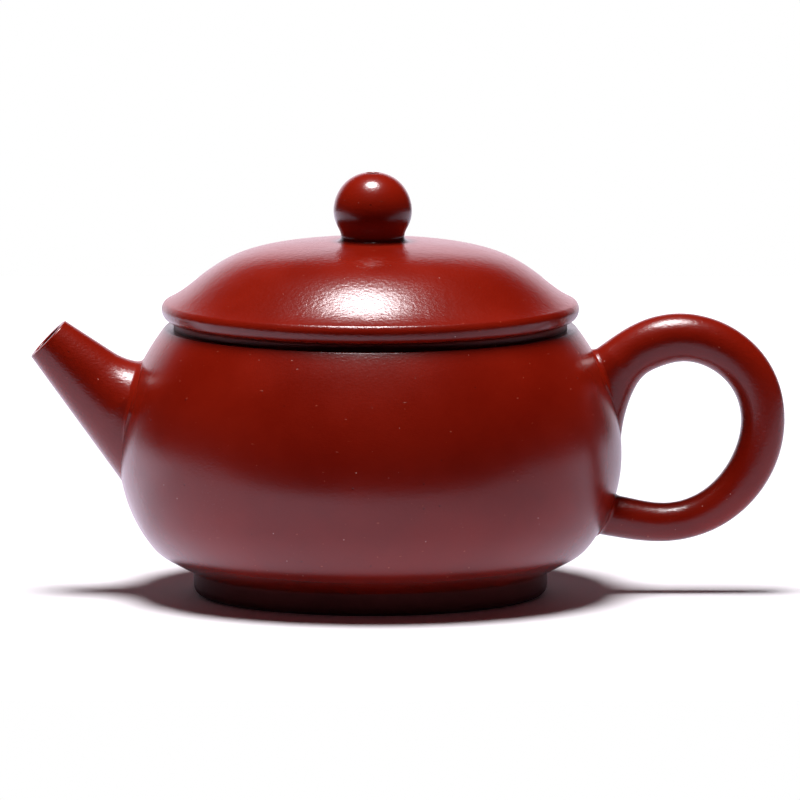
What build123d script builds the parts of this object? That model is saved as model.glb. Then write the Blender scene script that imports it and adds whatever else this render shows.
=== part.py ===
"""A small yixing clay teapot with a lift-off lid, each luted clay piece its own solid.

Millimetres, +Z up. The origin is the centre of the foot ring's flat underside, on the pot's axis.
The spout points along -X and the handle along +X.
"""

import math
import os

from build123d import *

# Pot: radius and height of the places where its skin turns, and the foot ring below it
wall = 2.8
foot_radius = 33.5
foot_width = 4.0
foot_height = 4.3
foot_outer_edge = 1.8
foot_inner_edge = 1.0
turn_start = (38.6, 7.0)
turn_end = (41.6, 9.45)
belly_widest = (47.55, 26.5)
shoulder_start = (43.05, 44.2)
shoulder_end = (38.9, 50.6)

# Mouth ring, on which the lid rests
mouth_height = 52.0
mouth_radius = 34.0
mouth_ring_radius = 37.2
mouth_lining = 1.4
mouth_lining_foot = 46.8

# Lid: its cover, the bead round its edge and the collar that drops into the mouth
cover_radius = 36.0
cover_places = ((0, 67.06), (17, 66.15), (26.5, 63.7), (32.2, 60.1), (36.0, 57.15), (38.75, 55.55))
cover_end_slope = -0.45
hollow_places = ((0, 64.0), (17, 62.9), (27, 59.3), (31.2, 52.0))
rim_places = ((38.75, 55.55), (39.2, 55.1), (39.48, 54.45), (39.15, 53.5), (38.3, 52.65), (37.1, 52.0))
flange_gap = 0.3
flange_wall = 2.3
flange_foot = 44.4
flange_edge = 0.7

# Knob, set by hand a little towards the handle, and the vent hole down through knob and cover
knob_places = (
    (0, 80.1), (4.4, 78.75), (6.95, 75.3), (7.4, 72.6), (6.75, 70.0), (6.03, 68.3), (6.12, 67.5), (7.0, 66.95)
)
knob_end_slope = -0.3
knob_foot = 66.0
knob_offset = 0.45
vent_radius = 1.2
vent_inside_radius = 2.6
vent_countersink = 0.45

# Spout: a cone about a sloping axis that starts at the centre of its mouth
spout_mouth = (-61.08, 48.53)
spout_slope = 43.7
spout_radius = 4.65
spout_growth = 0.185
spout_bore_radius = 3.2
spout_bore_growth = 0.15
spout_flare = 0.054
spout_flare_start = 11.0
spout_flare_end = 18.0
spout_stations = (0, 4, 8, 11, 13.5, 16, 18, 23, 30)
spout_lip_edge = 0.45
cut_overrun = 1.0

# Strainer: a pierced dome luted inside the belly wall, behind the spout
strainer_radius = 9.2
strainer_wall = 1.6
strainer_distance = 19.5
strainer_hole_radius = 0.9
strainer_hole_length = 6.4
strainer_rings = ((1, 0), (6, 24), (12, 48))

# Handle: the (x, z) places that face each other on its inner and its outer edge
handle_edges = (
    ((47.2, 26.5), (35.5, 41.0)),
    ((47.95, 33.0), (39.4, 44.0)),
    ((50.6, 40.0), (43.6, 47.1)),
    ((54.1, 42.8), (50.0, 51.2)),
    ((58.7, 44.05), (58.5, 53.2)),
    ((64.5, 42.6), (69.2, 50.1)),
    ((68.8, 38.2), (76.5, 41.9)),
    ((70.1, 32.7), (78.4, 32.5)),
    ((67.8, 24.9), (74.8, 20.7)),
    ((62.2, 19.0), (65.8, 12.4)),
    ((55.8, 17.1), (56.2, 9.8)),
    ((49.2, 18.0), (47.6, 10.4)),
    ((40.5, 19.9), (39.5, 11.9)),
)
handle_half_width = 4.9


def at(place):
    """The point in the XZ plane at a (radius, height)."""
    return Vector(place[0], 0, place[1])


def line(start, end):
    """A straight run of a profile between two (radius, height) places."""
    return Line(at(start), at(end))


def curve(places, **tangents):
    """A smooth run of a profile through (radius, height) places."""
    return Spline([at(place) for place in places], **tangents)


def turned(*runs):
    """The solid that a closed profile in the XZ plane sweeps round the pot's axis."""
    return revolve(make_face(runs), Axis.Z)


def disc(radius, bottom, top):
    """A plain disc on the pot's axis."""
    return Pos(0, 0, (top + bottom) / 2) * Cylinder(radius, top - bottom)


def belly():
    """The pot's skin filled solid, from the base's underside to the flat round the mouth."""
    upper = TangentArc(at(belly_widest), at(shoulder_start), tangent=(0, 0, 1))
    shoulder = TangentArc(upper @ 1, at(shoulder_end), tangent=upper % 1)
    lower = TangentArc(at(belly_widest), at(turn_end), tangent=(0, 0, -1))
    turn = TangentArc(lower @ 1, at(turn_start), tangent=lower % 1)
    base_edge = (foot_radius, foot_height)
    axis_low = (0, foot_height)
    axis_high = (0, shoulder_end[1])
    under = (line(turn_start, base_edge), line(base_edge, axis_low))
    inside = (line(axis_low, axis_high), line(axis_high, shoulder_end))
    return turned(upper, shoulder, lower, turn, *under, *inside)


def make_foot_ring():
    """The ring under the base, rounded where it meets the table."""
    tube = disc(foot_radius, 0, foot_height) - disc(foot_radius - foot_width, 0, foot_height)
    inner, outer = tube.faces().sort_by(Axis.Z)[0].edges().sort_by(SortBy.RADIUS)
    return tube.fillet(foot_outer_edge, [outer]).fillet(foot_inner_edge, [inner])


def make_mouth_ring():
    """The raised ring that seats the lid, with a lining that runs down inside the mouth."""
    shoulder_top = shoulder_end[1]
    raised = disc(mouth_ring_radius, shoulder_top, mouth_height)
    lining = disc(mouth_radius + mouth_lining, mouth_lining_foot, shoulder_top)
    return raised + lining - disc(mouth_radius, mouth_lining_foot, mouth_height)


def spout_frame(distance, lift=0.0):
    """The plane across the spout at a distance from its mouth, raised across the axis by lift."""
    slope = math.radians(spout_slope)
    along = Vector(math.cos(slope), 0, -math.sin(slope))
    upward = Vector(math.sin(slope), 0, math.cos(slope))
    return Plane(at(spout_mouth) + along * distance + upward * lift, x_dir=(0, 1, 0), z_dir=along)


def spout_section(distance):
    """The spout's outline at a distance from its mouth, with its top flared near the root."""
    radius = spout_radius + spout_growth * distance
    flared = max(0, min(distance, spout_flare_end) - spout_flare_start)
    half_flare = spout_flare * flared**2 / 2
    outline = Ellipse(radius + half_flare / 2, radius + half_flare)
    return spout_frame(distance, lift=half_flare) * outline


def spout_bore():
    """The channel down the spout, past both of its ends, as a solid to cut away."""
    ends = (-cut_overrun, spout_stations[-1] + cut_overrun)
    radii = [spout_bore_radius + spout_bore_growth * distance for distance in ends]
    return spout_frame(sum(ends) / 2) * Cone(*radii, ends[1] - ends[0])


def make_spout(skin):
    """The spout, open at both ends, with its root cut to the belly."""
    blank = loft([spout_section(distance) for distance in spout_stations])
    lip = blank.faces().sort_by_distance(at(spout_mouth))[0]
    return fillet(lip.edges(), spout_lip_edge) - spout_bore() - skin


def strainer_holes():
    """The rods that pierce the strainer, in rings about the spout's axis."""
    rod = Pos(0, 0, strainer_radius) * Cylinder(strainer_hole_radius, strainer_hole_length)
    rods = []
    for count, tilt in strainer_rings:
        for turn in range(count):
            aim = Rot(0, 0, turn * 360 / count) * Rot(0, tilt, 0)
            rods.append(spout_frame(strainer_distance) * aim * rod)
    return rods


def make_strainer(cavity):
    """The pierced dome over the spout's hole, on the inside of the belly wall."""
    middle = spout_frame(strainer_distance)
    dome = middle * Sphere(strainer_radius) - middle * Sphere(strainer_radius - strainer_wall)
    return (dome & cavity) - strainer_holes()


def make_handle(skin):
    """The ear-shaped handle, with both roots cut to the belly."""
    sections = []
    for inner, outer in handle_edges:
        reach = at(outer) - at(inner)
        half = reach.length / 2
        plane = Plane(at(inner) + reach / 2, x_dir=(0, 1, 0), z_dir=Vector(0, 1, 0).cross(reach))
        sections.append(plane * Ellipse(min(half, handle_half_width), half))
    return loft(sections) - skin


def cover_blank():
    """The lid's cover filled solid down to the level it rests at."""
    top = curve(cover_places, tangents=((1, 0, 0), (1, 0, cover_end_slope)))
    end = cover_places[-1]
    low = rim_places[-1]
    axis = (0, mouth_height)
    return turned(top, line(end, low), line(low, axis), line(axis, cover_places[0]))


def vent():
    """The hole down through the knob and the cover, wider inside the lid."""
    top = knob_places[0][1]
    inside = hollow_places[0][1]
    cover_top = cover_places[0][1]
    bore = disc(vent_radius, inside, top)
    sink = Pos(0, 0, top) * Sphere(vent_radius + vent_countersink)
    flare = Pos(0, 0, (inside + cover_top) / 2) * Cone(vent_inside_radius, vent_radius, cover_top - inside)
    return Pos(knob_offset, 0, 0) * (bore + sink + flare)


def make_lid_cover(blank):
    """The cover, hollow underneath and pierced by the vent."""
    end = hollow_places[-1]
    axis = (0, end[1])
    hollow = turned(
        curve(hollow_places, tangents=((1, 0, 0), (0, 0, -1))), line(end, axis), line(axis, hollow_places[0])
    )
    return (blank & disc(cover_radius, 0, cover_places[0][1])) - hollow - vent()


def make_lid_rim(blank):
    """The bead round the cover's edge, flat below where it rests."""
    edge = curve(rim_places)
    inner_low = (cover_radius - cut_overrun, mouth_height)
    inner_high = (cover_radius - cut_overrun, rim_places[0][1])
    bead = turned(
        edge, line(rim_places[-1], inner_low), line(inner_low, inner_high), line(inner_high, rim_places[0])
    )
    return (blank + bead) - disc(cover_radius, 0, cover_places[0][1])


def make_lid_flange():
    """The collar under the cover that drops into the mouth."""
    outer = mouth_radius - flange_gap
    tube = disc(outer, flange_foot, mouth_height) - disc(outer - flange_wall, flange_foot, mouth_height)
    return fillet(tube.faces().sort_by(Axis.Z)[0].edges(), flange_edge)


def make_knob(cover):
    """The button knob, with its skirt cut to the cover and the vent down its middle."""
    side = curve(knob_places, tangents=((1, 0, 0), (1, 0, knob_end_slope)))
    end = knob_places[-1]
    low = (end[0], knob_foot)
    axis = (0, knob_foot)
    blank = turned(side, line(end, low), line(low, axis), line(axis, knob_places[0]))
    return Pos(knob_offset, 0, 0) * blank - cover - vent()


def build_parts():
    """Every piece by its node's name."""
    skin = belly()
    cavity = offset(skin, -wall, kind=Kind.INTERSECTION)
    shell = skin - cavity
    core = disc(foot_radius, 0, belly_widest[1])
    opening = disc(mouth_radius + mouth_lining, shoulder_start[1], mouth_height)
    above_joint = disc(belly_widest[0], shoulder_start[1], mouth_height)
    cover = cover_blank()
    return {
        "base_disc": shell & core,
        "foot_ring": make_foot_ring(),
        "body_wall": shell - core - above_joint - spout_bore(),
        "shoulder_disc": (shell & above_joint) - opening,
        "mouth_ring": make_mouth_ring(),
        "spout": make_spout(skin),
        "spout_strainer": make_strainer(cavity),
        "handle": make_handle(skin),
        "lid_cover": make_lid_cover(cover),
        "lid_rim": make_lid_rim(cover),
        "lid_flange": make_lid_flange(),
        "knob": make_knob(cover),
    }


def main():
    """Writes each piece to its own file in parts."""
    os.makedirs("parts", exist_ok=True)
    for name, solid in build_parts().items():
        print(name, round(solid.volume / 1000, 2), "cm3", len(solid.solids()), "solid")
        export_step(solid, "parts/" + name + ".step")


main()
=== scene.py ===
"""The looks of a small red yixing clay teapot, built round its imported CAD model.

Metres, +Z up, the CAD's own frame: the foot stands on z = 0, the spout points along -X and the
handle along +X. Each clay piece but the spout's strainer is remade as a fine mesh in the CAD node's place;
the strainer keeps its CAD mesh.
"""

import math

import bmesh
import bpy
import numpy as np
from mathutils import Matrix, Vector


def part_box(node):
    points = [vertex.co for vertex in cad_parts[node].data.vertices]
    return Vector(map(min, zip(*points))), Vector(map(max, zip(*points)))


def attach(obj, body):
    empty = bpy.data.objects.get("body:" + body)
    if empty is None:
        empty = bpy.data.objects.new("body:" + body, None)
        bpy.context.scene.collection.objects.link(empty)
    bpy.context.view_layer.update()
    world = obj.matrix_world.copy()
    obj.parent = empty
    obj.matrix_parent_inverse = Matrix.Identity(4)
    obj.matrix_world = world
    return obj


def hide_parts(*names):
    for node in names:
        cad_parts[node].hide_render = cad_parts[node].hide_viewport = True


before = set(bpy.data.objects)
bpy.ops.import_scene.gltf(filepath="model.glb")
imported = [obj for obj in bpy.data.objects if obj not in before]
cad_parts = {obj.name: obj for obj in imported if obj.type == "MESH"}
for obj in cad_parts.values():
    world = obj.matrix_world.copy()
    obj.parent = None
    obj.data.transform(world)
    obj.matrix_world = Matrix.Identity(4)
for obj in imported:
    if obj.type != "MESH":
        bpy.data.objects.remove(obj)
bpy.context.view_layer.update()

MM = 0.001

# ---------------------------------------------------------------- sizes read from the CAD nodes


def low(node):
    """A CAD node's lowest corner, in millimetres."""
    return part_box(node)[0] / MM


def high(node):
    """A CAD node's highest corner, in millimetres."""
    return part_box(node)[1] / MM


foot_radius = high("foot_ring").x
foot_height = high("foot_ring").z
belly_radius = high("body_wall").y
joint_height = high("body_wall").z
joint_radius = high("shoulder_disc").y
shoulder_top = high("shoulder_disc").z
seat_height = high("mouth_ring").z
ring_radius = high("mouth_ring").y
flange_radius = high("lid_flange").y
flange_foot = low("lid_flange").z
rim_radius = high("lid_rim").y
cover_radius = high("lid_cover").y
cover_top = high("lid_cover").z
knob_x = (high("knob").x + low("knob").x) / 2
floor_top = high("base_disc").z

# Shape between those sizes, in millimetres: the pot
wall = 2.8
belly_height = 26.5
shoulder_edge = 38.9
turn_start = (38.6, 7.0)
turn_end = (41.6, 9.45)
foot_width = 4.0
floor_dip = 0.36
mouth_radius = 34.0
lining_radius = mouth_radius + 1.4

# The lid, as (radius, height) places from its top outwards and then down round the bead
cover_places = ((0, cover_top), (17, 66.15), (26.5, 63.7), (32.2, 60.1), (36.0, 57.15), (38.75, 55.55))
cover_end_heading = (1, -0.45)
rim_places = (
    cover_places[-1], (39.2, 55.1), (rim_radius, 54.35), (39.42, 53.65), (39.22, 53.05), (38.85, 52.55),
    (38.2, 52.2), (37.2, seat_height),
)
hollow_places = ((0, 64.0), (17, 62.9), (27, 59.3), (31.2, seat_height))
knob_places = (
    (0, 80.1), (4.4, 78.75), (6.95, 75.3), (7.4, 72.6), (6.75, 70.0), (6.03, 68.3), (6.12, 67.5), (7.0, 66.95)
)
flange_wall = 2.3
vent_radius = 1.2
vent_inside_radius = 2.6

# The spout: a cone from its mouth to the belly, with its top flared near the root, and its bore
spout_mouth = np.array((-61.04, 0.0, 48.49))
spout_slope = math.radians(43.7)
spout_radius, spout_growth = 4.65, 0.185
spout_flare, flare_start, flare_length = 0.054, 11, 7
bore_radius, bore_growth = 3.2, 0.15

# Handle: the x and z of places that face each other on its inner and its outer edge
handle_edges = np.array((
    (47.2, 26.5, 35.5, 41.0), (47.95, 33.0, 39.4, 44.0), (50.6, 40.0, 43.6, 47.1), (54.1, 42.8, 50.0, 51.2),
    (58.7, 44.05, 58.5, 53.2), (64.5, 42.6, 69.2, 50.1), (68.8, 38.2, 76.5, 41.9), (70.1, 32.7, 78.38, 32.5),
    (67.8, 24.9, 74.8, 20.7), (62.2, 19.0, 65.8, 12.4), (55.8, 17.1, 56.2, 9.8), (49.2, 18.0, 47.6, 10.4),
    (40.5, 19.9, 39.5, 11.9),
))
handle_half_width = 4.9


# ---------------------------------------------------------------- curves


def arc(start, end, heading, count=48):
    """Points on the circle arc that leaves start along heading and ends at end."""
    start, end, heading = (np.array(v, float) for v in (start, end, heading))
    heading /= np.linalg.norm(heading)
    side = np.array((-heading[1], heading[0]))
    chord = end - start
    radius = chord @ chord / (2 * chord @ side)
    centre = start + side * radius
    swing = 2 * math.atan2(chord @ side, chord @ heading)
    spin = np.linspace(0, swing, count)[:, None]
    return centre + (start - centre) * np.cos(spin) + heading * radius * np.sin(spin)


def arc_heading(points):
    """The direction in which a run of points ends."""
    return points[-1] - points[-2]


def spline(points, count, first=None, last=None):
    """A cubic through the points, by chord length, with optional end directions."""
    points = np.array(points, float)
    knots = np.concatenate(((0,), np.cumsum(np.linalg.norm(np.diff(points[:, :2], axis=0), axis=1))))
    gaps = np.diff(knots)
    total = len(points)
    left = np.zeros((total, total))
    right = np.zeros_like(points)
    slopes = np.diff(points, axis=0) / gaps[:, None]
    for i in range(1, total - 1):
        left[i, i - 1], left[i, i], left[i, i + 1] = gaps[i], 2 * (gaps[i - 1] + gaps[i]), gaps[i - 1]
        right[i] = 3 * (gaps[i] * slopes[i - 1] + gaps[i - 1] * slopes[i])
    for row, near, slope, wanted in ((0, 1, slopes[0], first), (total - 1, total - 2, slopes[-1], last)):
        left[row, row] = 1 if wanted is not None else 2
        left[row, near] = 0 if wanted is not None else 1
        right[row] = np.array(wanted, float) if wanted is not None else 3 * slope
        if wanted is not None:
            right[row] /= np.linalg.norm(right[row])
    tangents = np.linalg.solve(left, right)
    at = np.linspace(0, knots[-1], count)
    i = np.clip(np.searchsorted(knots, at, side="right") - 1, 0, total - 2)
    h = gaps[i][:, None]
    u = ((at - knots[i]) / gaps[i])[:, None]
    return (
        points[i] * (1 + 2 * u) * (1 - u) ** 2 + tangents[i] * h * u * (1 - u) ** 2
        + points[i + 1] * u**2 * (3 - 2 * u) + tangents[i + 1] * h * u**2 * (u - 1)
    )


def rounded(points, radii, steps=7):
    """A polyline with its inner corners replaced by arcs of the given radii."""
    points = [np.array(point, float) for point in points]
    out = [points[0]]
    for before, corner, after, radius in zip(points, points[1:], points[2:], radii):
        a = (before - corner) / np.linalg.norm(before - corner)
        b = (after - corner) / np.linalg.norm(after - corner)
        half = math.acos(np.clip(a @ b, -1, 1)) / 2
        if radius == 0:
            out.append(corner)
            continue
        centre = corner + (a + b) / np.linalg.norm(a + b) * radius / math.sin(half)
        start = corner + a * radius / math.tan(half) - centre
        finish = corner + b * radius / math.tan(half) - centre
        sweep = math.pi - 2 * half
        for k in range(steps + 1):
            u = k / steps
            turned = math.sin((1 - u) * sweep) * start + math.sin(u * sweep) * finish
            out.append(centre + turned / math.sin(sweep))
    out.append(points[-1])
    return np.array(out)


def evened(points, spacing):
    """The same line with points added so that no run is longer than the spacing."""
    out = [points[0]]
    for start, end in zip(points, points[1:]):
        runs = max(1, math.ceil(np.linalg.norm(end - start) / spacing))
        out += [start + (end - start) * (k + 1) / runs for k in range(runs)]
    return np.array(out)


# ---------------------------------------------------------------- the pot's skin


def skin_profile():
    """The pot's outer skin from the foot's top face up to the flat round the mouth."""
    widest = (belly_radius, belly_height)
    lower = arc(widest, turn_end, (0, -1))
    turn = arc(turn_end, turn_start, arc_heading(lower), 16)
    upper = arc(widest, (joint_radius, joint_height), (0, 1))
    shoulder = arc(upper[-1], (shoulder_edge, shoulder_top), arc_heading(upper), 16)
    under = np.array(((foot_radius, foot_height), turn_start))
    return np.concatenate((under[:1], turn[::-1], lower[::-1][1:], upper[1:], shoulder[1:]))


skin = skin_profile()


def skin_radius(height):
    """The radius of the pot's skin at a height."""
    return np.interp(height, skin[:, 1], skin[:, 0])


def inset_skin(depth):
    """The skin's profile moved inwards by a depth."""
    heading = np.gradient(skin, axis=0)
    heading /= np.linalg.norm(heading, axis=1)[:, None]
    return skin + depth * np.stack((-heading[:, 1], heading[:, 0]), axis=1)


# ---------------------------------------------------------------- meshes

SMOOTH_ANGLE = math.radians(32)
AROUND = 256


def add_piece(name, node, verts, faces, body):
    """Makes a mesh piece from millimetre points, in its CAD node's place and on its body."""
    mesh = bpy.data.meshes.new(name)
    mesh.from_pydata((np.array(verts) * MM).tolist(), [], faces)
    piece = bpy.data.objects.new(name, mesh)
    bpy.context.scene.collection.objects.link(piece)
    finish_mesh(mesh)
    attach(piece, body)
    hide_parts(node)
    return piece


def finish_mesh(mesh):
    """Points the faces outwards and shades the mesh smooth, with its real edges kept sharp."""
    work = bmesh.new()
    work.from_mesh(mesh)
    bmesh.ops.remove_doubles(work, verts=work.verts, dist=1e-7)
    bmesh.ops.recalc_face_normals(work, faces=work.faces)
    work.to_mesh(mesh)
    work.free()
    mesh.shade_smooth()
    mesh.set_sharp_from_angle(angle=SMOOTH_ANGLE)


def wrap_faces(rows, columns, closed_rows=True):
    """Quads over a grid of points that closes on itself across its columns."""
    faces = []
    for i in range(rows if closed_rows else rows - 1):
        for j in range(columns):
            a, b = i * columns + j, i * columns + (j + 1) % columns
            c, d = (i + 1) % rows * columns + (j + 1) % columns, (i + 1) % rows * columns + j
            faces.append((a, b, c, d))
    return faces


def lathe(profile, around=AROUND):
    """Points and faces of a closed profile, clear of the axis, turned round the pot's axis."""
    turns = np.linspace(0, 2 * math.pi, around, endpoint=False)
    r, z = profile[:, 0][:, None], profile[:, 1][:, None]
    verts = np.stack((r * np.cos(turns), r * np.sin(turns), z + 0 * turns), axis=-1)
    return verts.reshape(-1, 3), wrap_faces(len(profile), around)


def lathe_capped(profile, around=AROUND):
    """The same for an open profile that starts and ends on the axis."""
    turns = np.linspace(0, 2 * math.pi, around, endpoint=False)
    inner = profile[1:-1]
    r, z = inner[:, 0][:, None], inner[:, 1][:, None]
    verts = np.stack((r * np.cos(turns), r * np.sin(turns), z + 0 * turns), axis=-1).reshape(-1, 3)
    faces = wrap_faces(len(inner), around, closed_rows=False)
    first, last = len(verts), len(verts) + 1
    verts = np.concatenate((verts, ((0, 0, profile[0][1]), (0, 0, profile[-1][1]))))
    final = (len(inner) - 1) * around
    for j in range(around):
        faces.append((first, (j + 1) % around, j))
        faces.append((last, final + j, final + (j + 1) % around))
    return verts, faces


# ---------------------------------------------------------------- lathe-turned pieces


def between(points, bottom, top):
    """The part of a rising profile between two heights, with exact ends."""
    radii = np.interp((bottom, top), points[:, 1], points[:, 0])
    inside = points[(points[:, 1] > bottom + 0.01) & (points[:, 1] < top - 0.01)]
    return np.concatenate((((radii[0], bottom),), inside, ((radii[1], top),)))


def make_foot_ring():
    """The ring under the base, rounded where it meets the table."""
    inner = foot_radius - foot_width
    corners = ((inner, foot_height), (inner, 0), (foot_radius, 0), (foot_radius, foot_height))
    verts, faces = lathe(evened(rounded(corners, (1.0, 1.8)), 0.4))
    return add_piece("foot_ring_clay", "foot_ring", verts, faces, "pot")


def make_base_disc():
    """The slab that closes the bottom, with its top dished a little inside the belly wall."""
    floor = floor_top - floor_dip
    corners = (
        (0, foot_height), (foot_radius, foot_height), (foot_radius, floor_top), (foot_radius - 1.2, floor),
        (0, floor),
    )
    verts, faces = lathe_capped(evened(rounded(corners, (0, 0, 1.5)), 1.5), 192)
    return add_piece("base_disc_clay", "base_disc", verts, faces, "pot")


def make_body_wall():
    """The belly, with the spout's channel cut through it."""
    outer = between(skin, foot_height, joint_height)
    inner = inset_skin(wall)
    inner = between(inner, np.interp(foot_radius, inner[:40, 0], inner[:40, 1]), joint_height)[::-1]
    verts, faces = lathe(evened(np.concatenate((outer, inner)), 0.45))
    piece = add_piece("body_wall_clay", "body_wall", verts, faces, "pot")
    cut(piece, spout_channel_cutter())
    return piece


def make_shoulder_disc():
    """The sloping slab over the belly, with a rounded edge at the flat round the mouth."""
    outer = between(skin, joint_height, shoulder_top)
    ceiling = shoulder_top - wall
    inner = between(inset_skin(wall), joint_height, ceiling)[::-1]
    edge = rounded((outer[-3], outer[-1], (lining_radius + 1, shoulder_top)), (0.45,))
    hole = ((lining_radius, shoulder_top), (lining_radius, ceiling))
    profile = np.concatenate((outer[:-3], edge, hole, inner))
    verts, faces = lathe(evened(profile, 0.45))
    return add_piece("shoulder_disc_clay", "shoulder_disc", verts, faces, "pot")


def make_mouth_ring():
    """The raised ring that seats the lid, and the lining that runs down inside the mouth."""
    foot = low("mouth_ring").z
    middle = (mouth_radius + lining_radius) / 2
    corners = (
        (middle, foot), (lining_radius, foot), (lining_radius, shoulder_top), (ring_radius, shoulder_top),
        (ring_radius, seat_height), (mouth_radius, seat_height), (mouth_radius, foot), (middle, foot),
    )
    profile = rounded(corners, (0.3, 0, 0, 0.35, 0.5, 0.4))[:-1]
    verts, faces = lathe(evened(profile, 0.5))
    return add_piece("mouth_ring_clay", "mouth_ring", verts, faces, "pot")


cover_curve = spline(cover_places, 160, (1, 0), cover_end_heading)
cover_edge_height = np.interp(cover_radius, cover_curve[:, 0], cover_curve[:, 1])


def lean_to_knob(verts, reach=11.0):
    """Moves the points near the axis over to the knob's own axis, fading out with distance."""
    verts = verts.copy()
    fade = np.clip(1 - np.hypot(verts[:, 0], verts[:, 1]) / reach, 0, 1)
    verts[:, 0] += knob_x * np.minimum(1, fade * 2)
    return verts


def make_lid_cover():
    """The cover, hollow underneath and pierced by the vent."""
    top = cover_curve[(cover_curve[:, 0] > vent_radius) & (cover_curve[:, 0] < cover_radius)]
    hollow = spline(hollow_places, 90, (1, 0), (0, -1))[::-1]
    hollow = hollow[hollow[:, 0] > vent_inside_radius]
    vent_top, vent_foot = (vent_radius, cover_top), (vent_inside_radius, hollow_places[0][1])
    side = ((cover_radius, cover_edge_height), (cover_radius, seat_height))
    profile = np.concatenate(((vent_top,), top, side, hollow, (vent_foot,)))
    verts, faces = lathe(evened(profile, 0.5))
    return add_piece("lid_cover_clay", "lid_cover", lean_to_knob(verts), faces, "lid")


def make_lid_rim():
    """The bead round the cover's edge, which rests on the mouth ring."""
    top = cover_curve[cover_curve[:, 0] > cover_radius]
    edge = spline(rim_places, 60, cover_end_heading)
    side = ((cover_radius, seat_height), (cover_radius, cover_edge_height))
    profile = np.concatenate((side, top[:-1], edge))
    verts, faces = lathe(evened(profile, 0.3))
    return add_piece("lid_rim_clay", "lid_rim", verts, faces, "lid")


def make_lid_flange():
    """The collar under the cover that drops into the mouth."""
    inner = flange_radius - flange_wall
    outer = flange_radius
    corners = ((inner, seat_height), (inner, flange_foot), (outer, flange_foot), (outer, seat_height))
    verts, faces = lathe(evened(rounded(corners, (0.7, 0.7)), 0.6))
    return add_piece("lid_flange_clay", "lid_flange", verts, faces, "lid")


def make_knob():
    """The button knob, with the vent down its middle and its skirt sunk a little into the cover."""
    side = spline(knob_places, 180, (1, 0), (1, -0.3))
    lip_radius = vent_radius + 0.3
    lip = np.interp(lip_radius, side[:50, 0], side[:50, 1]) - 0.02
    side = side[side[:, 0] > lip_radius + 0.05]
    sunk = 0.08
    under = cover_curve[(cover_curve[:, 0] > vent_radius) & (cover_curve[:, 0] < 6.9)][::-1] - (0, sunk)
    mouth = rounded(((vent_radius, 76.0), (vent_radius, lip), (lip_radius + 0.1, lip)), (0.22,))[:-1]
    profile = np.concatenate((mouth, side, under, ((vent_radius, cover_top - sunk),)))
    verts, faces = lathe(evened(profile, 0.3), 192)
    return add_piece("knob_clay", "knob", verts + (knob_x, 0, 0), faces, "lid")


# ---------------------------------------------------------------- spout and handle

along = np.array((math.cos(spout_slope), 0, -math.sin(spout_slope)))
across = np.array((math.sin(spout_slope), 0, math.cos(spout_slope)))
sideways = np.array((0.0, 1.0, 0.0))


def spout_point(distance, angle, swell=0.0):
    """A point on the spout's outside, by distance from its mouth and angle, swelled by an amount."""
    distance, angle = np.broadcast_arrays(np.asarray(distance, float), angle)
    flare = spout_flare * np.clip(distance - flare_start, 0, flare_length) ** 2
    radius = spout_radius + spout_growth * distance + swell
    return spout_ring(distance, angle, radius + flare / 4, radius + flare / 2, flare / 2)


def bore_point(distance, angle):
    """A point on the wall of the spout's bore."""
    distance, angle = np.broadcast_arrays(np.asarray(distance, float), angle)
    radius = bore_radius + bore_growth * distance
    return spout_ring(distance, angle, radius, radius, 0 * distance)


def spout_ring(distance, angle, wide, tall, lift):
    """A point at an angle on an ellipse across the spout, raised from the spout's axis by lift."""
    middle = spout_mouth + distance[..., None] * along + lift[..., None] * across
    out = (wide * np.cos(angle))[..., None] * sideways + (tall * np.sin(angle))[..., None] * across
    return middle + out


def outside_skin(points):
    """How far points lie outside the pot's skin, measured level."""
    return np.hypot(points[..., 0], points[..., 1]) - skin_radius(points[..., 2])


def meet_skin(point_at, outside, inside, steps=40):
    """By halving, the value at which point_at(value) meets the pot's skin."""
    outside, inside = np.array(outside, float), np.array(inside, float)
    for _ in range(steps):
        middle = (outside + inside) / 2
        out = outside_skin(point_at(middle)) > 0
        outside = np.where(out, middle, outside)
        inside = np.where(out, inside, middle)
    return (outside + inside) / 2


def push_to_skin(points, depth=0.0):
    """Points moved level onto the pot's skin, or a depth inside it."""
    points = points.copy()
    scale = (skin_radius(points[..., 2]) - depth) / np.hypot(points[..., 0], points[..., 1])
    points[..., :2] *= scale[..., None]
    return points


# The smoothed clay at a joint: how far up the spout or the handle it reaches, and where its rows lie
COLLAR = 1.0
STEP_LENGTH = 0.12
NEAR_GAPS = (COLLAR + 0.3) * (1 - np.sin(np.linspace(0, math.pi / 2, 33)))


def collar(gap, width, step=0.0):
    """How far the smoothed clay stands out near a joint: a hollow curve onto the pot's skin, which can
    start at a fine step in the clay."""
    near = np.clip(1 - gap / COLLAR, 0, 1)
    return width * (1 - np.sqrt(1 - near**2)) + step * np.clip(near * COLLAR / STEP_LENGTH, 0, 1)


def upper_side(angle):
    """1 over most of a root, falling to almost nothing where it meets the skin at a shallow angle."""
    return np.clip(1 + 2 * np.sin(angle), 0.02, 1)


def land(rows):
    """Keeps rows of points just off the pot's skin, and puts the first of them onto it."""
    clearance = 0.015
    for k, row in enumerate(rows):
        low_points = outside_skin(row) < clearance
        rows[k] = np.where(low_points[:, None], push_to_skin(row, -clearance), row)
    rows[0] = push_to_skin(rows[0])
    return rows


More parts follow.
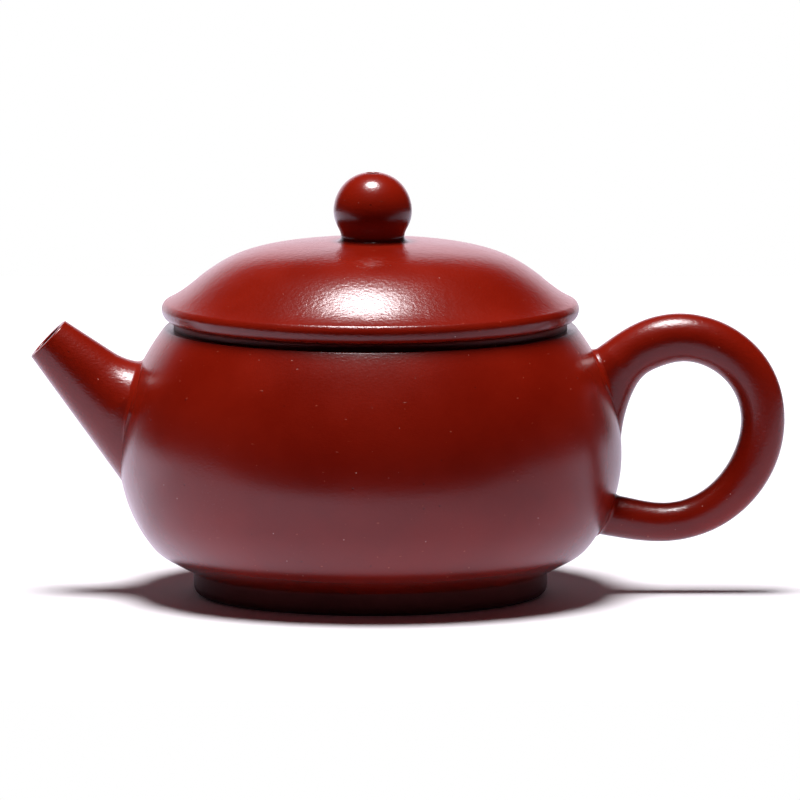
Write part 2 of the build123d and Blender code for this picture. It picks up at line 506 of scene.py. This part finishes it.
def spout_outside(angle, lip_end):
    """Rows of points down the spout's outside, from its rounded lip to the pot's skin."""
    root = meet_skin(lambda distance: spout_point(distance, angle), 6 + 0 * angle, 30 + 0 * angle)
    width = (0.4 + 1.6 * np.cos(angle) ** 2 + 0.5 * np.clip(np.sin(angle), 0, 1)) * upper_side(angle)
    last = root - NEAR_GAPS[0]
    shares = np.sin(np.linspace(0, math.pi / 2, 90)[:-1])
    rows = [spout_point(lip_end + (last - lip_end) * share, angle) for share in shares]
    return rows + land([spout_point(root - gap, angle, collar(gap, width)) for gap in NEAR_GAPS][::-1])[::-1]


def spout_inside(angle, lip_end):
    """Rows of points up the spout's bore, from the pot's skin to its rounded lip."""
    root = meet_skin(lambda distance: bore_point(distance, angle), 6 + 0 * angle, 30 + 0 * angle)
    return [bore_point(lip_end + (root - lip_end) * (1 - share), angle) for share in np.linspace(0, 1, 60)]


def spout_lip(angle, lip_end):
    """Rows of points over the spout's lip, from the bore to the outside."""
    outer_edge, inner_edge = spout_point(lip_end, angle), bore_point(lip_end, angle)
    half = (outer_edge - inner_edge) / 2
    rows = []
    for turn in np.linspace(0, math.pi, 13)[1:-1]:
        bulge = np.sign(math.cos(turn)) * abs(math.cos(turn)) ** 0.6
        rows.append((outer_edge + inner_edge) / 2 - half * bulge - along * 0.42 * math.sin(turn) ** 0.7)
    return rows


def slot_bore(piece):
    """Gives the faces of the spout's bore the second material."""
    for face in piece.data.polygons:
        offset = np.array(face.center) / MM - spout_mouth
        distance = offset @ along
        if np.linalg.norm(offset - distance * along) < bore_radius + bore_growth * distance + 0.02:
            face.material_index = 1


def make_spout():
    """The straight spout, open at both ends, with its root smoothed onto the belly."""
    around = 176
    lip_end = 0.45
    angle = np.linspace(0, 2 * math.pi, around, endpoint=False)
    outside, inside = spout_outside(angle, lip_end), spout_inside(angle, lip_end)
    root = [push_to_skin(outside[-1] + (inside[0] - outside[-1]) * share) for share in (0.25, 0.5, 0.75)]
    rows = outside + root + inside + spout_lip(angle, lip_end)
    piece = add_piece("spout_clay", "spout", np.concatenate(rows), wrap_faces(len(rows), around), "pot")
    slot_bore(piece)
    return piece


def spout_channel_cutter():
    """A plug of the spout's bore, long enough to open the pot's wall behind the spout."""
    around = 96
    angle = np.linspace(0, 2 * math.pi, around, endpoint=False)
    rows = [bore_point(distance, angle) for distance in (8, 30)]
    verts = np.concatenate(rows)
    faces = [tuple(range(around)), tuple(range(2 * around - 1, around - 1, -1))]
    faces += wrap_faces(2, around, closed_rows=False)
    mesh = bpy.data.meshes.new("cutter")
    mesh.from_pydata((verts * MM).tolist(), [], faces)
    cutter = bpy.data.objects.new("cutter", mesh)
    bpy.context.scene.collection.objects.link(cutter)
    finish_mesh(mesh)
    return cutter


def cut(piece, cutter):
    """Cuts the cutter's solid out of a piece and removes the cutter."""
    modifier = piece.modifiers.new("cut", "BOOLEAN")
    modifier.operation, modifier.solver, modifier.object = "DIFFERENCE", "EXACT", cutter
    bpy.context.view_layer.update()
    shape = piece.evaluated_get(bpy.context.evaluated_depsgraph_get())
    mesh = bpy.data.meshes.new_from_object(shape)
    piece.modifiers.clear()
    old = piece.data
    piece.data = mesh
    mesh.name = old.name
    bpy.data.meshes.remove(old)
    bpy.data.objects.remove(cutter)
    finish_mesh(mesh)


handle_middles = (handle_edges[:, :2] + handle_edges[:, 2:]) / 2
handle_reaches = (handle_edges[:, 2:] - handle_edges[:, :2]) / 2
handle_line = spline(np.concatenate((handle_middles, handle_reaches), axis=1), 1600)
handle_shares = np.linspace(0, 1, len(handle_line))
handle_length = np.linalg.norm(np.diff(handle_line[:, :2], axis=0), axis=1).sum()


def handle_point(share, angle, swell=0.0):
    """A point on the handle, by its share of the way from the upper root and angle, swelled by an amount."""
    x, z, reach_x, reach_z = (np.interp(share, handle_shares, handle_line[:, k]) for k in range(4))
    half = np.hypot(reach_x, reach_z)
    wide = np.minimum(half, handle_half_width) + swell
    tall = 1 + swell / half
    out = np.stack((reach_x * tall, 0 * x, reach_z * tall), axis=-1)
    middle = np.stack((x, 0 * x, z), axis=-1)
    return middle + np.sin(angle)[..., None] * out + (wide * np.cos(angle))[..., None] * sideways


def handle_rows(angle):
    """Rows of points along the handle, with both roots smoothed onto the pot's skin."""
    first = meet_skin(lambda share: handle_point(share, angle), 0.4 + 0 * angle, 0 * angle)
    last = meet_skin(lambda share: handle_point(share, angle), 0.8 + 0 * angle, 1 + 0 * angle)
    high_width = (0.5 + 1.4 * np.cos(angle) ** 2 + 0.3 * np.clip(np.sin(angle), 0, 1)) * upper_side(angle)
    high_step = 0.1 * np.clip(0.5 + np.sin(angle), 0, 1)
    low_width = 0.4 + 1.2 * np.cos(angle) ** 2
    gaps = NEAR_GAPS[::-1]
    upper = [
        handle_point(first + gap / handle_length, angle, collar(gap, high_width, high_step)) for gap in gaps
    ]
    start, end = first + gaps[-1] / handle_length, last - gaps[-1] / handle_length
    loop = [handle_point(start + (end - start) * share, angle) for share in np.linspace(0, 1, 230)[1:-1]]
    lower = [handle_point(last - gap / handle_length, angle, collar(gap, low_width)) for gap in gaps]
    return land(upper) + loop + land(lower)[::-1]


def make_handle():
    """The loop handle, closed by a fan of faces at each root."""
    around = 128
    rows = handle_rows(np.linspace(0, 2 * math.pi, around, endpoint=False))
    ends = [push_to_skin(rows[k].mean(axis=0)[None], 0.3)[0] for k in (0, -1)]
    total = len(rows) * around
    faces = wrap_faces(len(rows), around, closed_rows=False)
    for j in range(around):
        faces.append((total, (j + 1) % around, j))
        faces.append((total + 1, total - around + j, total - around + (j + 1) % around))
    return add_piece("handle_clay", "handle", np.concatenate(rows + [ends]), faces, "pot")


# ---------------------------------------------------------------- clay

CLAY_DARK = (0.168, 0.0050, 0.0007, 1)
CLAY_LIGHT = (0.212, 0.0077, 0.0016, 1)
# Clay tones darkened as painted shade, for the foot ring and the spout's bore
PAINTED_SHADE_CLAY_DARK = (0.06, 0.014, 0.012, 1)
PAINTED_SHADE_CLAY_LIGHT = (0.09, 0.022, 0.018, 1)
FLECK = (0.72, 0.42, 0.36, 1)
PAINTED_NICK_GLINT = (0.50, 0.10, 0.05, 1)
PAINTED_PIT_SHADE = (0.05, 0.003, 0.002, 1)


class Nodes:
    """Short ways to add and join a shader's nodes."""

    def __init__(self, tree):
        self.tree = tree
        tree.nodes.clear()

    def add(self, kind, settings=None, **inputs):
        """A node with its settings, and its inputs by name, with _ for a space."""
        node = self.tree.nodes.new(kind)
        for key, value in (settings or {}).items():
            setattr(node, key, value)
        for key, value in inputs.items():
            self.set(node.inputs[key.replace("_", " ")], value)
        return node

    def set(self, socket, value):
        """Links an output to an input socket, or sets the socket's own value."""
        if isinstance(value, bpy.types.NodeSocket):
            self.tree.links.new(value, socket)
        else:
            socket.default_value = value

    def maths(self, operation, a, b):
        """The result of a sum on two values."""
        node = self.add("ShaderNodeMath", {"operation": operation})
        self.set(node.inputs[0], a)
        self.set(node.inputs[1], b)
        return node.outputs[0]

    def ramp(self, value, low_value, high_value, low_result=0.0, high_result=1.0):
        """A smooth change from one result to another as the value goes from low to high."""
        node = self.add("ShaderNodeMapRange", {"interpolation_type": "SMOOTHSTEP"})
        for socket, given in zip(node.inputs, (value, low_value, high_value, low_result, high_result)):
            self.set(socket, given)
        return node.outputs[0]

    def noise(self, where, size_mm, detail, stretch=None):
        """Noise from 0 to 1 whose grain is about size_mm across."""
        if stretch:
            where = self.add("ShaderNodeVectorMath", {"operation": "MULTIPLY"}, Vector=where)
            where.inputs[1].default_value = stretch
            where = where.outputs[0]
        scale = 1000 / size_mm
        node = self.add("ShaderNodeTexNoise", Vector=where, Scale=scale, Detail=detail, Roughness=0.55)
        return node.outputs[0]

    def specks(self, where, spacing_mm, radius_mm, share):
        """Round spots, 1 at their middles, in the given share of cells this far apart."""
        cells = self.add("ShaderNodeTexVoronoi", Vector=where, Scale=1000 / spacing_mm)
        edge = radius_mm / spacing_mm
        spot = self.ramp(cells.outputs["Distance"], edge * 0.35, edge, 1.0, 0.0)
        pick = self.add("ShaderNodeSeparateColor", Color=cells.outputs["Color"]).outputs[0]
        return self.maths("MULTIPLY", spot, self.maths("LESS_THAN", pick, share))

    def mix(self, share, a, b):
        """Colour a, or b, or between them by a share."""
        node = self.add("ShaderNodeMix", {"data_type": "RGBA"})
        for socket, given in ((node.inputs[0], share), (node.inputs[6], a), (node.inputs[7], b)):
            self.set(socket, given)
        return node.outputs[2]

    def bump(self, height, depth_mm, normal=None):
        """A normal bent by a height, on top of an earlier bump."""
        node = self.add("ShaderNodeBump", Height=height, Distance=depth_mm * MM, Strength=1.0)
        if normal:
            self.set(node.inputs["Normal"], normal)
        return node.outputs[0]


class ClayPatterns:
    """The clay's patterns from 0 to 1, each with its grain at its real size in millimetres."""

    def __init__(self, n):
        where = n.add("ShaderNodeTexCoord").outputs["Object"]
        self.broad = n.noise(where, 22, 3)
        self.grain = n.noise(where, 0.3, 3)
        self.peel = n.noise(where, 1.7, 2)
        self.wave = n.noise(where, 13, 1)
        self.ripple = n.noise(where, 0.38, 2, stretch=(0.5, 0.5, 1.0))
        self.flecks = n.specks(where, 2.6, 0.16, 0.2)
        self.pits = n.specks(where, 3.2, 0.26, 0.2)
        nicks = n.ramp(n.noise(where, 0.5, 1, stretch=(0.5, 0.5, 1.0)), 0.74, 0.79)
        self.nicks = n.maths("MULTIPLY", nicks, n.ramp(self.peel, 0.45, 0.6))


def clay_colour(n, clay, dark, light, marks):
    """Clay between a dark and a light tone, with pale flecks, raised nicks lightened by a painted glint, and
    pits darkened by painted shade.
    """
    colour = n.mix(n.ramp(clay.broad, 0.3, 0.7), dark, light)
    colour = n.mix(n.ramp(clay.grain, 0.35, 0.75, 0.0, 0.22), colour, light)
    colour = n.mix(n.maths("MULTIPLY", clay.flecks, 0.7 * marks), colour, FLECK)
    # The nicks are raised in the relief, and lightened here with a painted glint
    colour = n.mix(n.maths("MULTIPLY", clay.nicks, 0.5 * marks), colour, PAINTED_NICK_GLINT)
    # The pits are dents in the relief, darkened here with painted shade
    return n.mix(n.maths("MULTIPLY", clay.pits, 0.6), colour, PAINTED_PIT_SHADE)


def clay_roughness(n, clay, roughness):
    """A roughness that wears a little smoother and rougher from place to place."""
    rough = n.ramp(clay.broad, 0.25, 0.75, roughness - 0.02, roughness + 0.02)
    return n.maths("ADD", rough, n.ramp(clay.grain, 0.3, 0.8, 0.0, 0.04))


def clay_relief(n, clay, relief):
    """The clay's bumps, with their depths in millimetres."""
    normal = n.bump(clay.wave, 0.12)
    normal = n.bump(clay.peel, 0.03 * relief, normal)
    normal = n.bump(clay.ripple, 0.05 * relief, normal)
    normal = n.bump(clay.grain, 0.015 * relief, normal)
    raised = n.maths("ADD", n.maths("MULTIPLY", clay.flecks, 0.4), clay.nicks)
    return n.bump(n.maths("SUBTRACT", raised, clay.pits), 0.025, normal)


def make_clay(name, roughness, relief=1.0, marks=1.0, dark=CLAY_DARK, light=CLAY_LIGHT, ior=1.5):
    """Red clay with its fine relief, which is lower where it is handled and higher where it was left bare."""
    material = bpy.data.materials.new(name)
    material.use_nodes = True
    n = Nodes(material.node_tree)
    clay = ClayPatterns(n)
    shader = n.add(
        "ShaderNodeBsdfPrincipled", Base_Color=clay_colour(n, clay, dark, light, marks),
        Roughness=clay_roughness(n, clay, roughness), Normal=clay_relief(n, clay, relief), IOR=ior,
    )
    n.set(n.add("ShaderNodeOutputMaterial").inputs["Surface"], shader.outputs[0])
    return material


# ---------------------------------------------------------------- building the pieces

burnished = make_clay("red clay burnished", 0.22, relief=0.5)
rippled = make_clay("red clay rippled", 0.22)
handled = make_clay("red clay handled", 0.2, relief=0.5, marks=0.2)
bare = make_clay("red clay bare", 0.5, relief=2.0)
# Matt clay whose dark colour is painted shade on the foot ring and in the spout's bore
dull = make_clay("matt clay darkened with painted shade", 0.6, relief=1.5, marks=0, dark=PAINTED_SHADE_CLAY_DARK, light=PAINTED_SHADE_CLAY_LIGHT, ior=1.1)

for piece in (make_body_wall(), make_shoulder_disc()):
    piece.data.materials.append(burnished)
for piece in (make_spout(), make_handle(), make_lid_cover(), make_lid_rim()):
    piece.data.materials.append(rippled)
make_knob().data.materials.append(handled)
for piece in (make_base_disc(), make_mouth_ring(), make_lid_flange()):
    piece.data.materials.append(bare)
# The spout's bore and the foot ring get the clay darkened with painted shade
for piece in (bpy.data.objects["spout_clay"], make_foot_ring()):
    piece.data.materials.append(dull)

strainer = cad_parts["spout_strainer"]
strainer.data.materials.clear()
strainer.data.materials.append(bare)

# ---------------------------------------------------------------- floor, lights and camera


def table_glow(n, where, distance):
    """How bright the table glows in the clay's reflections, by distance from the pot's axis in metres: a
    painted reflection, with a painted shade under the pot.
    """
    place = n.add("ShaderNodeSeparateXYZ", Vector=where).outputs
    under_pot = n.ramp(distance, 0.039, 0.0445, 0.04, 1)
    round_pot = n.ramp(distance, 0.047, 0.062, 1.25, 1)
    to_left = n.ramp(place["X"], -0.06, 0.1, 1.17, 0.7)
    behind = n.ramp(place["Y"], 0, 0.06, 1, 1.4)
    shade = n.maths("MULTIPLY", under_pot, round_pot)
    return n.maths("MULTIPLY", shade, n.maths("MULTIPLY", to_left, behind))


def table_material():
    """A pale table, plain to the camera but for a faint painted glow far from the pot.
    In the clay's reflections it is a painted glow, brighter behind and to the left, and dark in a
    painted round shade under the pot."""
    material = bpy.data.materials.new("pale table")
    material.use_nodes = True
    n = Nodes(material.node_tree)
    path = n.add("ShaderNodeLightPath").outputs
    tint = n.mix(path["Is Camera Ray"], (0.74, 0.67, 0.83, 1), (0.87, 0.86, 0.88, 1))
    where = n.add("ShaderNodeTexCoord").outputs["Object"]
    distance = n.add("ShaderNodeVectorMath", {"operation": "LENGTH"}, Vector=where).outputs["Value"]
    plain_table = n.add("ShaderNodeBsdfPrincipled", Base_Color=tint, Roughness=0.9, IOR=1.3)
    # Painted light: a faint glow that washes the far table white
    n.set(plain_table.inputs["Emission Strength"], n.ramp(distance, 0.15, 0.45, 0.0, 0.5))
    # Painted reflection: for glossy rays the table is a glow, with a painted shade under the pot
    mirrored = n.add("ShaderNodeEmission", Color=(1, 0.92, 1.12, 1), Strength=table_glow(n, where, distance))
    surface = n.add("ShaderNodeMixShader")
    given = (path["Is Glossy Ray"], plain_table.outputs[0], mirrored.outputs[0])
    for socket, value in zip(surface.inputs, given):
        n.set(socket, value)
    n.set(n.add("ShaderNodeOutputMaterial").inputs["Surface"], surface.outputs[0])
    return material


def make_floor():
    """A table top that ends a little in front of the pot."""
    left, right, front, back = -0.8, 0.8, -0.14, 0.5
    corners = [(left, front, 0), (right, front, 0), (right, back, 0), (left, back, 0)]
    mesh = bpy.data.meshes.new("floor")
    mesh.from_pydata(corners, [], [(0, 1, 2, 3)])
    mesh.materials.append(table_material())
    floor = bpy.data.objects.new("floor", mesh)
    bpy.context.scene.collection.objects.link(floor)


def make_world():
    """White all round for the camera. It lights the pot from behind and leaves the near side dim."""
    world = bpy.data.worlds.new("studio")
    bpy.context.scene.world = world
    world.use_nodes = True
    n = Nodes(world.node_tree)
    direction = n.add("ShaderNodeTexCoord").outputs["Generated"]
    split = n.add("ShaderNodeSeparateXYZ", Vector=direction).outputs
    to_left = n.maths("SUBTRACT", split["Y"], n.maths("MULTIPLY", split["X"], 0.1))
    behind = n.ramp(to_left, 0.72, 0.97)
    low_down = n.ramp(split["Z"], 0.26, 0.5, 1.4, 0.03)
    near_side = 0.006
    glow = n.maths("ADD", n.maths("MULTIPLY", behind, low_down), near_side)
    camera_ray = n.add("ShaderNodeLightPath").outputs["Is Camera Ray"]
    tint = n.mix(camera_ray, (0.98, 0.88, 1, 1), (1, 1, 1, 1))
    strength = n.maths("ADD", n.maths("MULTIPLY", camera_ray, n.maths("SUBTRACT", 1.0, glow)), glow)
    background = n.add("ShaderNodeBackground", Color=tint, Strength=strength)
    n.set(n.add("ShaderNodeOutputWorld").inputs["Surface"], background.outputs[0])


def make_lamp(size, place, radiance, colour):
    """A round soft light of a width in metres that faces down, with the radiance of its face."""
    light = bpy.data.lights.new("softbox above", "AREA")
    light.shape, light.size = "DISK", size
    light.energy = radiance * math.pi * math.pi * size**2 / 4
    light.color = colour
    lamp = bpy.data.objects.new(light.name, light)
    lamp.location = place
    bpy.context.scene.collection.objects.link(lamp)


def make_camera():
    """A long lens a little above the pot, looking along +Y."""
    elevation = math.radians(7.3)
    reach = 3
    aim = Vector((0.0056, 0, 0.0367))
    camera = bpy.data.cameras.new("camera")
    camera.lens, camera.sensor_width = 713.6, 36
    camera.clip_start, camera.clip_end = 0.1, 20
    holder = bpy.data.objects.new("camera", camera)
    holder.location = aim + reach * Vector((0, -math.cos(elevation), math.sin(elevation)))
    holder.rotation_euler = (aim - holder.location).to_track_quat("-Z", "Y").to_euler()
    bpy.context.scene.collection.objects.link(holder)
    bpy.context.scene.camera = holder


make_floor()
make_world()
make_lamp(0.44, (-0.035, -0.05, 1.0), 36, (1, 0.97, 1))
make_camera()
bpy.context.scene.view_settings.view_transform = "Standard"
